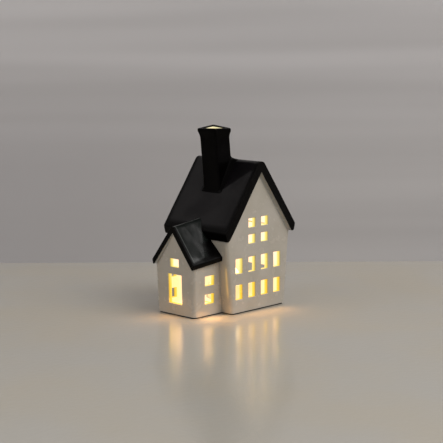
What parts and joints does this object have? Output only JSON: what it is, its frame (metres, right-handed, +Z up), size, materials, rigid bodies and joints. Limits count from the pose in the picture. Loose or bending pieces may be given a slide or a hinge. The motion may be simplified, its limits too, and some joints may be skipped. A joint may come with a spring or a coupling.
{
  "type": "ceramic christmas village house",
  "caption": "Glazed ceramic village house with a gabled annex and an open chimney, lit through its windows by a battery lamp that pushes into a port in the floor.",
  "frame": {"origin": "on the table, under the middle of the object's length and depth", "axes": "+Z up, -Y towards the front gable with its rows of windows, -X towards the annex door"},
  "size_m": [0.098, 0.0658, 0.1359],
  "materials": {
    "white_glaze": "satin white glaze",
    "black_glaze": "glossy black glaze",
    "soft_pad": "thin black foam sheet",
    "white_plastic": "moulded white plastic",
    "silicone": "milky silicone",
    "frosted_plastic": "frosted plastic",
    "epoxy": "clear epoxy with a warm tint",
    "plated_steel": "nickel plated",
    "green_board": "solder mask on glass fibre board",
    "chip_black": "matt black chip",
    "black_plastic": "moulded black plastic"
  },
  "bodies": {
    "house": {"house_walls": "white_glaze", "annex_walls": "white_glaze", "main_roof": "black_glaze", "annex_roof": "black_glaze", "chimney": "black_glaze", "house_floor": "white_glaze", "base_pad": "soft_pad"},
    "lamp": {"lamp_housing": "white_plastic", "retaining_ring": "silicone", "lamp_cover": "white_plastic", "light_diffuser": "frosted_plastic", "led": "epoxy", "led_leads": "plated_steel", "circuit_board": "green_board", "resistor": "chip_black", "button_cell": "plated_steel", "positive_contact": "plated_steel", "negative_contact": "plated_steel", "switch_body": "black_plastic", "switch_terminals": "plated_steel"},
    "battery_hatch": {"battery_door": "white_plastic", "battery_door_screw": "plated_steel"},
    "switch_slider": {"switch_knob": "black_plastic"}
  },
  "joints": [
    {"name": "lamp_pull", "type": "slide", "parent": "house", "child": "lamp", "axis": [0, 0, -1], "range_m": [0, 0.045]},
    {"name": "hatch_lift", "type": "slide", "parent": "lamp", "child": "battery_hatch", "axis": [0, 0, -1], "range_m": [0, 0.02]},
    {"name": "switch_slide", "type": "slide", "parent": "lamp", "child": "switch_slider", "axis": [1, 0, 0], "range_m": [0, 0.0022]}
  ]
}
